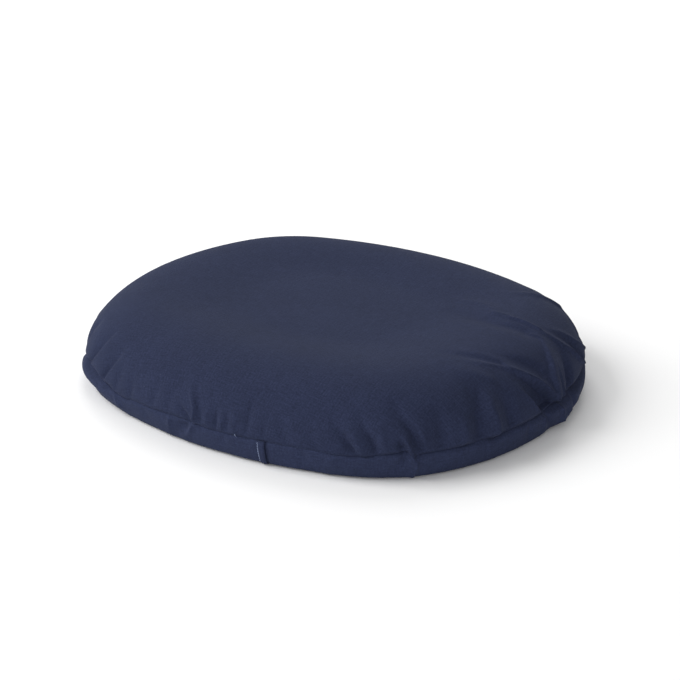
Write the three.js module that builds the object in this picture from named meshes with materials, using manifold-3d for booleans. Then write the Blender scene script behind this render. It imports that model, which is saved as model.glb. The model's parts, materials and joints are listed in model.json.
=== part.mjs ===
// Oval ring cushion in a zipped woven cover, millimetres, +Z up, +X along the cushion's length.
// A foam ring with a dished top lies inside a boxed cover: a top panel that rolls over the
// shoulder, a flat bottom panel and a narrow boxing band with a zip along the rear side.
// The origin is the centre of the flat underside.

import * as THREE from 'three';
import { mergeVertices } from 'three/addons/utils/BufferGeometryUtils.js';
import Module from 'manifold-3d';

const wasm = await Module();
wasm.setup();

// ---- Driving dimensions ----

const HALF_LENGTH = 228.5;
const HALF_WIDTH = 197;
const HEIGHT = 76;

// The plan outline is an eight-arc oval: long sides, blunt ends and four tighter corners.
const SIDE_RADIUS = 370;
const END_RADIUS = 240;
const CORNER_RADIUS = 135;
const SEGMENTS = 72;

const FABRIC = 0.8;
const GAP = 0.3;

// The boxing band leans out from the base to the top seam.
const SEAM_HEIGHT = 23.5;
const BASE_INSET = 6;

// The top panel rises from the seam to the crown as a quarter ellipse, then dips into the dish.
const SHOULDER_RUN = 73;
const SHOULDER_STEPS = 8;
const DISH_DEPTH = 9.5;
const DISH_FLOOR = 0.5;
const DISH_STEPS = 4;

const FOAM_DEPTH = 4.7;
const FOAM_CLEARANCE = 0.5;
const FOAM_HOLE = 0.547;

// Lap join of the two boxing strips on the front side.
const LAP_POSITION = 64;
const LAP_WIDTH = 7;
const LAP_TURN = 2;
const LAP_THICKNESS = 1.3;

// Zip: arc lengths are measured along the widest outline from the middle of the rear side.
const ZIP_HALF = 126.5;
const TAPE_HALF = 125;
const CHAIN_HALF = 119;
const PLACKET_OPENING = 6.1;
const COIL_SLOT = 1.2;
const COIL_WIDTH = 2.1;
const COIL_FACE = 0.2;
const COIL_DEPTH = 1.7;
const TAPE_REACH = 9;
const TAPE_FACE = 2.2;
const TAPE_THICKNESS = 0.6;
const STOP_LENGTH = 2;
const END_TAB_LENGTH = 10;
const END_TAB_REACH = 6;

const SLIDER_LENGTH = 10;
const SLIDER_NOSE_WIDTH = 7.5;
const SLIDER_TAIL_WIDTH = 5.5;
const SLIDER_PLATE = 1;
const SLIDER_FLOAT = 0.4;
const SLIDER_CORNER = 1.2;
const WEB_THICKNESS = 0.6;
const WEB_LENGTH = 4;
const WEB_SETBACK = 0.9;
const CROWN_WIDTH = 1.4;
const CROWN_BAR = 1;
const CROWN_HALF_SPAN = 3.2;
const CROWN_HEADROOM = 1.05;

const TAB_AXIS_HEIGHT = 0.85;
const TAB_THICKNESS = 1;
const TAB_LENGTH = 22;
const TAB_NECK_WIDTH = 4.6;
const TAB_GRIP_WIDTH = 6.6;
const TAB_WINDOW_LENGTH = 4.1;
const TAB_WINDOW_WIDTH = 2.4;

const THREAD = 0.5;
const STITCH_MARGIN = 0.9;
const LABEL_START = 165;
const LABEL_WIDTH = 30;
const LABEL_THICKNESS = 0.4;
const LABEL_FOOT = 3.9;

const CURVE_STEPS = 4;
const MERGE_DISTANCE = 1e-4;

// ---- Materials ----

const cloth = { color: '#363c55', roughness: 0.95, metalness: 0 };
const foam = { color: '#d8cfae', roughness: 0.9, metalness: 0 };
const thread = { color: '#565f80', roughness: 0.7, metalness: 0 };
const nylon = { color: '#272c40', roughness: 0.45, metalness: 0 };
const plated = { color: '#8e9093', roughness: 0.35, metalness: 1 };
const satin = { color: '#e6e5df', roughness: 0.6, metalness: 0 };

const cushion = new THREE.Group();

function addPiece(name, geometry, finish, parent = cushion) {
  const mesh = new THREE.Mesh(geometry, new THREE.MeshStandardMaterial(finish));
  mesh.name = name;
  parent.add(mesh);
  return mesh;
}

// ---- Plan outline ----

// Centre of the corner arc in the +X +Y quarter: it touches the side and end arcs from inside.
function cornerCentre(sideCentre, endCentre) {
  const reachSide = SIDE_RADIUS - CORNER_RADIUS;
  const reachEnd = END_RADIUS - CORNER_RADIUS;
  const along = endCentre.clone().sub(sideCentre);
  const span = along.length();
  along.normalize();
  const foot = (reachSide ** 2 - reachEnd ** 2 + span ** 2) / (2 * span);
  const offset = Math.sqrt(reachSide ** 2 - foot ** 2);
  const across = new THREE.Vector2(along.y, -along.x);
  return sideCentre.clone().addScaledVector(along, foot).addScaledVector(across, offset);
}

// The outline's arcs, counter-clockwise from the middle of the rear side (+Y).
function outlineArcs() {
  const side = new THREE.Vector2(0, HALF_WIDTH - SIDE_RADIUS);
  const end = new THREE.Vector2(HALF_LENGTH - END_RADIUS, 0);
  const corner = cornerCentre(side, end);
  const sideHalf = Math.atan2(corner.x - side.x, corner.y - side.y);
  const endHalf = Math.atan2(corner.y - end.y, corner.x - end.x);
  const cornerSweep = Math.PI / 2 - sideHalf - endHalf;
  const quarter = Math.PI / 2;
  const arc = (x, y, radius, from, sweep) => ({ x, y, radius, from, sweep });
  return [
    arc(side.x, side.y, SIDE_RADIUS, quarter, sideHalf),
    arc(-corner.x, corner.y, CORNER_RADIUS, quarter + sideHalf, cornerSweep),
    arc(-end.x, end.y, END_RADIUS, 2 * quarter - endHalf, 2 * endHalf),
    arc(-corner.x, -corner.y, CORNER_RADIUS, 2 * quarter + endHalf, cornerSweep),
    arc(side.x, -side.y, SIDE_RADIUS, 3 * quarter - sideHalf, 2 * sideHalf),
    arc(corner.x, -corner.y, CORNER_RADIUS, 3 * quarter + sideHalf, cornerSweep),
    arc(end.x, end.y, END_RADIUS, 4 * quarter - endHalf, 2 * endHalf),
    arc(corner.x, corner.y, CORNER_RADIUS, 4 * quarter + endHalf, cornerSweep),
    arc(side.x, side.y, SIDE_RADIUS, 5 * quarter - sideHalf, sideHalf),
  ];
}

const ARCS = outlineArcs();
const PERIMETER = ARCS.reduce((sum, arc) => sum + arc.radius * arc.sweep, 0);
const STEP = PERIMETER / SEGMENTS;

// Point and outward direction of the outline at an arc length from the middle of the rear side.
function stationAt(length) {
  let rest = ((length % PERIMETER) + PERIMETER) % PERIMETER;
  let index = 0;
  while (index < ARCS.length - 1 && rest > ARCS[index].radius * ARCS[index].sweep) {
    rest -= ARCS[index].radius * ARCS[index].sweep;
    index += 1;
  }
  const arc = ARCS[index];
  const angle = arc.from + rest / arc.radius;
  const out = new THREE.Vector2(Math.cos(angle), Math.sin(angle));
  const point = new THREE.Vector2(arc.x, arc.y).addScaledVector(out, arc.radius);
  return { point, out };
}

// A point at an inset from the outline and a height above the floor.
function place(station, inset, height) {
  const { point, out } = station;
  return new THREE.Vector3(point.x - inset * out.x, point.y - inset * out.y, height);
}

const LOOP = Array.from({ length: SEGMENTS }, (_, index) => stationAt(index * STEP));

// Stations of a stretch of the outline: its two ends and the shared stations between them.
function stretch(from, to) {
  const lengths = [from];
  for (let index = Math.floor(from / STEP) + 1; index * STEP < to; index += 1) {
    lengths.push(index * STEP);
  }
  lengths.push(to);
  return lengths.map(stationAt);
}

// ---- Skins ----

function volumeOf(points, faces) {
  const cross = new THREE.Vector3();
  return faces.reduce((sum, [a, b, c]) => {
    cross.crossVectors(points[b], points[c]);
    return sum + points[a].dot(cross) / 6;
  }, 0);
}

// Joins rings of points into one closed body. A ring of one point is a pole.
function skin(rings, looped = false) {
  const points = rings.flat();
  const starts = [];
  let total = 0;
  for (const ring of rings) {
    starts.push(total);
    total += ring.length;
  }
  const faces = [];
  const pairs = looped ? rings.length : rings.length - 1;
  for (let index = 0; index < pairs; index += 1) {
    const next = (index + 1) % rings.length;
    const here = rings[index].length;
    const there = rings[next].length;
    const sides = Math.max(here, there);
    for (let side = 0; side < sides; side += 1) {
      const a = starts[index] + (side % here);
      const b = starts[index] + ((side + 1) % here);
      const c = starts[next] + ((side + 1) % there);
      const d = starts[next] + (side % there);
      if (here > 1) faces.push([a, b, c]);
      if (there > 1) faces.push([a, c, d]);
    }
  }
  const outward = volumeOf(points, faces) > 0;
  const order = outward ? faces : faces.map(([a, b, c]) => [a, c, b]);
  const geometry = new THREE.BufferGeometry();
  geometry.setAttribute('position', new THREE.Float32BufferAttribute(
    points.flatMap((point) => point.toArray()), 3));
  geometry.setIndex(order.flat());
  geometry.computeVertexNormals();
  return geometry;
}

const ringAt = (inset, height) => LOOP.map((station) => place(station, inset, height));

// The crown ring shrunk towards the middle of the cushion.
function innerRing(share, height) {
  return ringAt(SHOULDER_RUN, height).map((point) => (
    new THREE.Vector3(point.x * share, point.y * share, height)));
}

function centroid(ring) {
  const sum = new THREE.Vector3();
  ring.forEach((point) => sum.add(point));
  return sum.divideScalar(ring.length);
}

// A band with a four-sided section, swept along a stretch of the outline and closed at both ends.
function band(stations, section) {
  const rings = stations.map((station) => section.map(([inset, height]) => (
    place(station, inset, height))));
  const first = centroid(rings[0]);
  const last = centroid(rings[rings.length - 1]);
  return skin([[first], ...rings, [last]]);
}

// ---- Solids with cuts and joins ----

function toSolid(geometry) {
  const bare = new THREE.BufferGeometry();
  bare.setAttribute('position', geometry.getAttribute('position').clone());
  if (geometry.index) bare.setIndex(geometry.index.clone());
  const merged = mergeVertices(bare, MERGE_DISTANCE);
  return new wasm.Manifold(new wasm.Mesh({
    numProp: 3,
    vertProperties: new Float32Array(merged.attributes.position.array),
    triVerts: new Uint32Array(merged.index.array),
  }));
}

function unite(...geometries) {
  const solid = geometries.map(toSolid).reduce((whole, next) => whole.add(next));
  const mesh = solid.getMesh();
  const geometry = new THREE.BufferGeometry();
  geometry.setAttribute('position', new THREE.BufferAttribute(mesh.vertProperties, 3));
  geometry.setIndex(new THREE.BufferAttribute(mesh.triVerts, 1));
  geometry.computeVertexNormals();
  return geometry;
}

// ---- Boxing coordinates: rise runs up the leaning band, depth runs inward from its outer face ----

const BOXING_BASE = FABRIC + GAP;
const BOXING_WIDTH = Math.hypot(BASE_INSET, SEAM_HEIGHT - BOXING_BASE);
const BOXING_LEAN = Math.atan2(BASE_INSET, SEAM_HEIGHT - BOXING_BASE);
const ZIP_RISE = BOXING_WIDTH / 2;

function boxingPoint(rise, depth) {
  return [
    BASE_INSET - rise * Math.sin(BOXING_LEAN) + depth * Math.cos(BOXING_LEAN),
    BOXING_BASE + rise * Math.cos(BOXING_LEAN) + depth * Math.sin(BOXING_LEAN),
  ];
}

function boxingSection(riseFrom, riseTo, depthFrom, depthTo) {
  return [
    boxingPoint(riseFrom, depthFrom),
    boxingPoint(riseFrom, depthTo),
    boxingPoint(riseTo, depthTo),
    boxingPoint(riseTo, depthFrom),
  ];
}

// ---- Cover panels ----

// Rings over the shoulder from an inset up to the crown, for a skin lying below the cover's
// outer face by a clearance.
function shoulderRings(clearance, insetFrom) {
  const run = SHOULDER_RUN - clearance;
  const rise = HEIGHT - SEAM_HEIGHT - clearance;
  const start = Math.acos(1 - (insetFrom - clearance) / run);
  return Array.from({ length: SHOULDER_STEPS }, (_, index) => {
    const angle = start + (Math.PI / 2 - start) * (index / SHOULDER_STEPS);
    const inset = SHOULDER_RUN - run * Math.cos(angle);
    return ringAt(inset, SEAM_HEIGHT + rise * Math.sin(angle));
  });
}

function dishHeight(share) {
  const fall = Math.min((1 - share) / (1 - DISH_FLOOR), 1);
  return HEIGHT - DISH_DEPTH * fall * fall * (3 - 2 * fall);
}

// Rings from the crown in to a share of it, for a skin lying below the cover's outer face.
function dishRings(clearance, shareTo) {
  return Array.from({ length: DISH_STEPS + 1 }, (_, index) => {
    const share = 1 - (1 - shareTo) * (index / DISH_STEPS);
    return innerRing(share, dishHeight(share) - clearance);
  });
}

function topPanel() {
  const edge = SEAM_HEIGHT + GAP;
  const outer = [...shoulderRings(0, 0), ...dishRings(0, DISH_FLOOR)];
  const inner = [...shoulderRings(FABRIC, FABRIC), ...dishRings(FABRIC, DISH_FLOOR)];
  outer[0] = ringAt(0, edge);
  inner[0] = ringAt(FABRIC, edge);
  const floor = HEIGHT - DISH_DEPTH;
  const outerPole = [new THREE.Vector3(0, 0, floor)];
  const innerPole = [new THREE.Vector3(0, 0, floor - FABRIC)];
  return skin([outerPole, ...outer.reverse(), ...inner, innerPole]);
}

function bottomPanel() {
  const lowerPole = [new THREE.Vector3(0, 0, 0)];
  const upperPole = [new THREE.Vector3(0, 0, FABRIC)];
  return skin([lowerPole, ringAt(BASE_INSET, 0), ringAt(BASE_INSET, FABRIC), upperPole]);
}

// The foam stands back from the boxing to leave room for the zip, and lies close under the top.
function foamRing() {
  const clearance = FABRIC + FOAM_CLEARANCE;
  const [baseInset] = boxingPoint(0, FOAM_DEPTH);
  const [wallInset, wallHeight] = boxingPoint(BOXING_WIDTH, FOAM_DEPTH);
  return skin([
    innerRing(FOAM_HOLE, clearance),
    ringAt(baseInset, clearance),
    ringAt(wallInset, wallHeight),
    ...shoulderRings(clearance, wallInset),
    ...dishRings(clearance, FOAM_HOLE),
  ], true);
}

addPiece('foam_ring', foamRing(), foam);
addPiece('cover_top_panel', topPanel(), cloth);
addPiece('cover_bottom_panel', bottomPanel(), cloth);

// ---- Boxing strips ----

// The left strip ends on the front side in a raised fold that laps over the right strip's end.
function leftStrip() {
  const lapEnd = PERIMETER / 2 + LAP_POSITION;
  const lapStart = lapEnd - LAP_WIDTH;
  const face = -GAP - LAP_THICKNESS;
  const flat = boxingSection(0, BOXING_WIDTH, 0, FABRIC);
  const turn = boxingSection(0, BOXING_WIDTH, face, FABRIC);
  const fold = boxingSection(0, BOXING_WIDTH, face, -GAP);
  return unite(
    band(stretch(ZIP_HALF + GAP, lapStart), flat),
    band(stretch(lapStart - LAP_TURN, lapStart), turn),
    band(stretch(lapStart - LAP_TURN, lapEnd), fold),
  );
}

function rightStrip() {
  const from = PERIMETER / 2 + LAP_POSITION - LAP_WIDTH + GAP;
  const to = PERIMETER - ZIP_HALF - GAP;
  return band(stretch(from, to), boxingSection(0, BOXING_WIDTH, 0, FABRIC));
}

addPiece('boxing_strip_left', leftStrip(), cloth);
addPiece('boxing_strip_right', rightStrip(), cloth);

// ---- Zip laid along the rear side: paired pieces above and below the middle of the band ----

// A long piece of the zip; reaches are measured away from the middle of the band.
function zipBand(direction, reachFrom, reachTo, depthFrom, depthTo, half) {
  const near = ZIP_RISE + direction * reachFrom;
  const far = ZIP_RISE + direction * reachTo;
  const section = boxingSection(near, far, depthFrom, depthTo);
  return band(stretch(-half, half), section);
}

const SLOT = COIL_SLOT / 2;
const COIL_BACK = COIL_FACE + COIL_DEPTH;
const STITCH_REACH = PLACKET_OPENING / 2 + STITCH_MARGIN;

for (const [side, direction] of [['upper', 1], ['lower', -1]]) {
  addPiece(`zip_placket_${side}`,
    zipBand(direction, PLACKET_OPENING / 2, ZIP_RISE, 0, FABRIC, ZIP_HALF), cloth);
  addPiece(`zip_tape_${side}`,
    zipBand(direction, SLOT, TAPE_REACH, TAPE_FACE, TAPE_FACE + TAPE_THICKNESS, TAPE_HALF), nylon);
  addPiece(`zip_coil_${side}`,
    zipBand(direction, SLOT, SLOT + COIL_WIDTH, COIL_FACE, COIL_BACK, CHAIN_HALF), nylon);
  addPiece(`zip_stitch_${side}`,
    zipBand(direction, STITCH_REACH, STITCH_REACH + THREAD, -GAP - THREAD, -GAP, CHAIN_HALF), thread);
}

const STOP_START = CHAIN_HALF + GAP;
const STOP_END = STOP_START + STOP_LENGTH;

function stopBlock(from, to, riseFrom, riseTo) {
  return band(stretch(from, to), boxingSection(riseFrom, riseTo, COIL_FACE, COIL_BACK));
}

const STOP_REACH = SLOT + COIL_WIDTH;
addPiece('zip_top_stop_upper',
  stopBlock(STOP_START, STOP_END, ZIP_RISE + SLOT, ZIP_RISE + STOP_REACH), plated);
addPiece('zip_top_stop_lower',
  stopBlock(STOP_START, STOP_END, ZIP_RISE - STOP_REACH, ZIP_RISE - SLOT), plated);
addPiece('zip_bottom_stop',
  stopBlock(-STOP_END, -STOP_START, ZIP_RISE - STOP_REACH, ZIP_RISE + STOP_REACH), plated);

// Fabric tabs stitched over both ends of the zip.
function endTab(from, to) {
  return band(stretch(from, to),
    boxingSection(ZIP_RISE - END_TAB_REACH, ZIP_RISE + END_TAB_REACH, -GAP - FABRIC, -GAP));
}

const END_TAB_START = STOP_END + GAP;
addPiece('zip_end_tab_left', endTab(END_TAB_START, END_TAB_START + END_TAB_LENGTH), cloth);
addPiece('zip_end_tab_right', endTab(-END_TAB_START - END_TAB_LENGTH, -END_TAB_START), cloth);

// ---- Slider and pull tab ----

// The slider rides about the centre of the rear side's arc. Its own frame has X along the zip,
// towards the bottom stop, Y out of the band and Z up the band.
const SLIDER_ANGLE = (CHAIN_HALF - SLIDER_LENGTH / 2) / SIDE_RADIUS;
const [ZIP_INSET, ZIP_HEIGHT] = boxingPoint(ZIP_RISE, 0);

const rearArc = new THREE.Group();
rearArc.position.set(0, HALF_WIDTH - SIDE_RADIUS, 0);
rearArc.rotation.z = SLIDER_ANGLE;
cushion.add(rearArc);

const slider = new THREE.Group();
slider.position.set(0, SIDE_RADIUS - ZIP_INSET, ZIP_HEIGHT);
slider.rotation.x = -BOXING_LEAN;
rearArc.add(slider);

// Turns a plan drawn in X and Z into a plate whose outer face is at the given Y.
function plate(shape, thickness, outerFace) {
  const geometry = new THREE.ExtrudeGeometry(shape, {
    depth: thickness, bevelEnabled: false, curveSegments: CURVE_STEPS,
  });
  geometry.rotateX(Math.PI / 2);
  geometry.translate(0, outerFace, 0);
  return geometry;
}

// Shield outline: wide at the nose, where the two halves part, and narrow at the tail.
function shieldShape() {
  const half = SLIDER_LENGTH / 2;
  const nose = SLIDER_NOSE_WIDTH / 2;
  const tail = SLIDER_TAIL_WIDTH / 2;
  const corner = SLIDER_CORNER;
  const shape = new THREE.Shape();
  shape.moveTo(-half + corner, -nose);
  shape.lineTo(0, -nose);
  shape.lineTo(half - corner, -tail);
  shape.quadraticCurveTo(half, -tail, half, -tail + corner);
  shape.lineTo(half, tail - corner);
  shape.quadraticCurveTo(half, tail, half - corner, tail);
  shape.lineTo(0, nose);
  shape.lineTo(-half + corner, nose);
  shape.quadraticCurveTo(-half, nose, -half, nose - corner);
  shape.lineTo(-half, -nose + corner);
  shape.quadraticCurveTo(-half, -nose, -half + corner, -nose);
  return shape;
}

const PLATE_OUTER = SLIDER_FLOAT + SLIDER_PLATE;
const PLATE_INNER = -(TAPE_FACE + TAPE_THICKNESS + SLIDER_FLOAT);

// The crown is a low arch along the zip; the pull tab's end bar turns beneath it.
function crownArch() {
  const foot = PLATE_OUTER - SLIDER_PLATE / 2;
  const under = PLATE_OUTER + TAB_AXIS_HEIGHT + CROWN_HEADROOM;
  const inside = CROWN_HALF_SPAN - CROWN_BAR;
  const shape = new THREE.Shape();
  shape.moveTo(-CROWN_HALF_SPAN, foot);
  shape.lineTo(-inside, foot);
  shape.lineTo(-inside, under);
  shape.lineTo(inside, under);
  shape.lineTo(inside, foot);
  shape.lineTo(CROWN_HALF_SPAN, foot);
  shape.lineTo(CROWN_HALF_SPAN, under);
  shape.quadraticCurveTo(CROWN_HALF_SPAN, under + CROWN_BAR, inside, under + CROWN_BAR);
  shape.lineTo(-inside, under + CROWN_BAR);
  shape.quadraticCurveTo(-CROWN_HALF_SPAN, under + CROWN_BAR, -CROWN_HALF_SPAN, under);
  const geometry = new THREE.ExtrudeGeometry(shape, {
    depth: CROWN_WIDTH, bevelEnabled: false, curveSegments: CURVE_STEPS,
  });
  geometry.translate(0, 0, -CROWN_WIDTH / 2);
  return geometry;
}

// The web joins the two plates through the slot between the coils, near the nose.
function sliderWeb() {
  const top = PLATE_OUTER - SLIDER_PLATE / 2;
  const bottom = PLATE_INNER - SLIDER_PLATE / 2;
  const geometry = new THREE.BoxGeometry(WEB_LENGTH, top - bottom, WEB_THICKNESS);
  geometry.translate(-SLIDER_LENGTH / 2 + WEB_SETBACK + WEB_LENGTH / 2, (top + bottom) / 2, 0);
  return geometry;
}

function pullTab() {
  const back = -TAB_THICKNESS / 2;
  const neck = TAB_NECK_WIDTH / 2;
  const grip = TAB_GRIP_WIDTH / 2;
  const end = TAB_LENGTH + back;
  const shape = new THREE.Shape();
  shape.moveTo(back, -neck);
  shape.lineTo(TAB_WINDOW_LENGTH + neck, -neck);
  shape.lineTo(end - 2 * grip, -grip);
  shape.lineTo(end - grip, -grip);
  shape.absarc(end - grip, 0, grip, -Math.PI / 2, Math.PI / 2, false);
  shape.lineTo(end - 2 * grip, grip);
  shape.lineTo(TAB_WINDOW_LENGTH + neck, neck);
  shape.lineTo(back, neck);
  const window = new THREE.Path();
  const near = TAB_THICKNESS / 2;
  const far = near + TAB_WINDOW_LENGTH;
  const half = TAB_WINDOW_WIDTH / 2;
  window.moveTo(near, -half);
  window.lineTo(near, half);
  window.lineTo(far, half);
  window.lineTo(far, -half);
  shape.holes.push(window);
  return plate(shape, TAB_THICKNESS, TAB_THICKNESS / 2);
}

addPiece('zip_slider_body', unite(
  plate(shieldShape(), SLIDER_PLATE, PLATE_OUTER),
  plate(shieldShape(), SLIDER_PLATE, PLATE_INNER),
  sliderWeb(),
  crownArch(),
), plated, slider);
const tab = addPiece('zip_pull_tab', pullTab(), plated, slider);
tab.position.y = PLATE_OUTER + TAB_AXIS_HEIGHT;

// ---- Stitching and label ----

// A seam thread runs round the inside of the band, just behind its edge.
function seamThread(riseFrom) {
  const depth = FABRIC + GAP;
  const section = boxingSection(riseFrom, riseFrom + THREAD, depth, depth + THREAD);
  const rings = section.map(([inset, height]) => ringAt(inset, height));
  return skin(rings, true);
}

addPiece('top_seam_thread', seamThread(BOXING_WIDTH - 2 * THREAD), thread);
addPiece('bottom_seam_thread', seamThread(THREAD), thread);

// One upright line of stitches holds the lap's turned edge.
function lapThread() {
  const middle = PERIMETER / 2 + LAP_POSITION - LAP_WIDTH - LAP_TURN / 2;
  const face = -2 * GAP - LAP_THICKNESS;
  const section = boxingSection(THREAD, BOXING_WIDTH - THREAD, face - THREAD, face);
  return band(stretch(middle - THREAD / 2, middle + THREAD / 2), section);
}

function careLabel() {
  const section = boxingSection(LABEL_FOOT, BOXING_WIDTH - THREAD,
    -GAP - LABEL_THICKNESS, -GAP);
  return band(stretch(LABEL_START, LABEL_START + LABEL_WIDTH), section);
}

addPiece('boxing_join_thread', lapThread(), thread);
addPiece('care_label', careLabel(), satin);

export default cushion;
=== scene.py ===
"""An oval ring cushion in a navy woven cover: a puckered top panel over a dished foam ring,
a narrow boxing band with one lapped side seam, and a zip along the rear side.

Surface coordinates: "along" runs round the widest outline from the middle of the front side,
positive towards the right end (+X); "up" runs up the cloth from the top seam, negative down
the boxing band. Everything is in metres, in the CAD frame.
"""

import json
import math

import bmesh
import bpy
import numpy as np
from mathutils import Matrix, Vector


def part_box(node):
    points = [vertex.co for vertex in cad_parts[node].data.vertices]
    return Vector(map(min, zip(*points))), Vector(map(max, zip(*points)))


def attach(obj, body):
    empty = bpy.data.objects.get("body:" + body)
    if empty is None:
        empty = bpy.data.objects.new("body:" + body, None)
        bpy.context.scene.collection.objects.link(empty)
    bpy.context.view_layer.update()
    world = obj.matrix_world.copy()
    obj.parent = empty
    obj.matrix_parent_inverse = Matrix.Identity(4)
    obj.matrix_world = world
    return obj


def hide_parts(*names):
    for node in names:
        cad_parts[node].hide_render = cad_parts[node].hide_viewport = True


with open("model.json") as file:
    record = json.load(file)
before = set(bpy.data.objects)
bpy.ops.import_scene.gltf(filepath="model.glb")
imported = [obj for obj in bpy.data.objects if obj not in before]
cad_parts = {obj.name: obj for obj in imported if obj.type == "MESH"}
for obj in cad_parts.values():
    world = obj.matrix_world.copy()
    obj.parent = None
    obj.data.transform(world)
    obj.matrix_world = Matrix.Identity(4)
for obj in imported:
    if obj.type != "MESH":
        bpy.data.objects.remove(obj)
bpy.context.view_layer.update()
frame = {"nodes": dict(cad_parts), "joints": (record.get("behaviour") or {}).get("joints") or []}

MM = 0.001

# ---- Sizes taken from the CAD frame ----

TOP_LOW, TOP_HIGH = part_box("cover_top_panel")
BASE_LOW, BASE_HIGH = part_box("cover_bottom_panel")
JOINTS = {joint["name"]: joint for joint in frame["joints"]}

HALF_LENGTH = TOP_HIGH.x
HALF_WIDTH = TOP_HIGH.y
HEIGHT = TOP_HIGH.z
SEAM_HEIGHT = TOP_LOW.z
BASE_INSET = HALF_LENGTH - BASE_HIGH.x
FABRIC = BASE_HIGH.z - BASE_LOW.z
CLOTH_THICKNESS = FABRIC * 0.9
SIDE_RADIUS = HALF_WIDTH - JOINTS["zip_travel"]["pos_m"][1]

# ---- Cushion shape ----

END_RADIUS = 240 * MM
CORNER_RADIUS = 135 * MM
SHOULDER_RUN = 67 * MM
DISH_DEPTH = 6.8 * MM
DISH_FLOOR = 0.5
BAND_WIDTH = math.hypot(BASE_INSET, SEAM_HEIGHT)

COLUMNS = 1024
SHOULDER_ROWS = 56
DISH_ROWS = 30
BAND_ROWS = 18


def smooth(x):
    x = np.clip(x, 0, 1)
    return x * x * (3 - 2 * x)


def outline_arcs():
    """The outline's arcs (centre x, y, radius, start angle, sweep), from the middle of the front."""
    side = np.array([0, HALF_WIDTH - SIDE_RADIUS])
    end = np.array([HALF_LENGTH - END_RADIUS, 0])
    reach_side, reach_end = SIDE_RADIUS - CORNER_RADIUS, END_RADIUS - CORNER_RADIUS
    span = np.linalg.norm(end - side)
    ahead = (end - side) / span
    foot = (reach_side**2 - reach_end**2 + span**2) / (2 * span)
    offset = math.sqrt(reach_side**2 - foot**2)
    corner = side + foot * ahead + offset * np.array([ahead[1], -ahead[0]])
    side_half = math.atan2(corner[0] - side[0], corner[1] - side[1])
    end_half = math.atan2(corner[1] - end[1], corner[0] - end[0])
    quarter = math.pi / 2
    turn = quarter - side_half - end_half
    return [
        (0, -side[1], SIDE_RADIUS, -quarter, side_half),
        (corner[0], -corner[1], CORNER_RADIUS, -quarter + side_half, turn),
        (end[0], 0, END_RADIUS, -end_half, 2 * end_half),
        (corner[0], corner[1], CORNER_RADIUS, end_half, turn),
        (0, side[1], SIDE_RADIUS, quarter - side_half, 2 * side_half),
        (-corner[0], corner[1], CORNER_RADIUS, quarter + side_half, turn),
        (-end[0], 0, END_RADIUS, 2 * quarter - end_half, 2 * end_half),
        (-corner[0], -corner[1], CORNER_RADIUS, 2 * quarter + end_half, turn),
        (0, -side[1], SIDE_RADIUS, 3 * quarter - side_half, side_half),
    ]


ARCS = outline_arcs()
PERIMETER = sum(radius * sweep for _, _, radius, _, sweep in ARCS)


def outline(along):
    """Points and outward directions of the outline, as arrays of (x, y)."""
    rest = np.mod(np.asarray(along, float), PERIMETER)
    points, outs = np.zeros(rest.shape + (2,)), np.zeros(rest.shape + (2,))
    start = 0.0
    for x, y, radius, angle, sweep in ARCS:
        inside = (rest >= start) & (rest <= start + radius * sweep + 1e-9)
        turned = angle + (rest - start) / radius
        out = np.stack([np.cos(turned), np.sin(turned)], -1)
        points[inside] = (np.array([x, y]) + radius * out)[inside]
        outs[inside] = out[inside]
        start += radius * sweep
    return points, outs


def wrapped(distance):
    """A signed distance round the outline, taken the short way."""
    return np.mod(distance + PERIMETER / 2, PERIMETER) - PERIMETER / 2


# The shoulder is a quarter ellipse; its angle is looked up from the length of cloth above the seam.
SHOULDER_RISE = HEIGHT - SEAM_HEIGHT
_angles = np.linspace(0, math.pi / 2, 400)
_pieces = np.hypot(SHOULDER_RUN * np.sin(_angles), SHOULDER_RISE * np.cos(_angles))
_lengths = np.concatenate([[0], np.cumsum((_pieces[1:] + _pieces[:-1]) / 2 * np.diff(_angles))])
SHOULDER_LENGTH = _lengths[-1]
DISH_RUN = (HALF_LENGTH + HALF_WIDTH) / 2 - SHOULDER_RUN


def dish_height(share):
    return HEIGHT - DISH_DEPTH * smooth((1 - share) / (1 - DISH_FLOOR))


def top_surface(along, up):
    """Points of the smooth top panel; along and up are arrays of one shape."""
    points, outs = outline(along)
    angle = np.interp(up, _lengths, _angles)
    inset = SHOULDER_RUN * (1 - np.cos(angle))
    share = 1 - np.clip((up - SHOULDER_LENGTH) / DISH_RUN, 0, 1)
    flat = (points - outs * inset[..., None]) * share[..., None]
    height = SEAM_HEIGHT + SHOULDER_RISE * np.sin(angle)
    height = np.where(up > SHOULDER_LENGTH, dish_height(share), height)
    return np.concatenate([flat, height[..., None]], -1)


def band_surface(along, up):
    """Points of the smooth boxing band, from the top seam (up = 0) down to the base."""
    points, outs = outline(along)
    fall = np.clip(-up / BAND_WIDTH, 0, 1)
    flat = points - outs * (BASE_INSET * fall)[..., None]
    return np.concatenate([flat, (SEAM_HEIGHT * (1 - fall))[..., None]], -1)


def normals_of(grid, closed=True):
    """Outward unit normals of a grid of points (rows up, columns along)."""
    rise = np.gradient(grid, axis=0)
    if closed:
        run = (np.roll(grid, -1, 1) - np.roll(grid, 1, 1)) / 2
    else:
        run = np.gradient(grid, axis=1)
    cross = np.cross(run, rise)
    size = np.linalg.norm(cross, axis=-1, keepdims=True)
    return cross / np.maximum(size, 1e-12)


# ---- Folds ----

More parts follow.
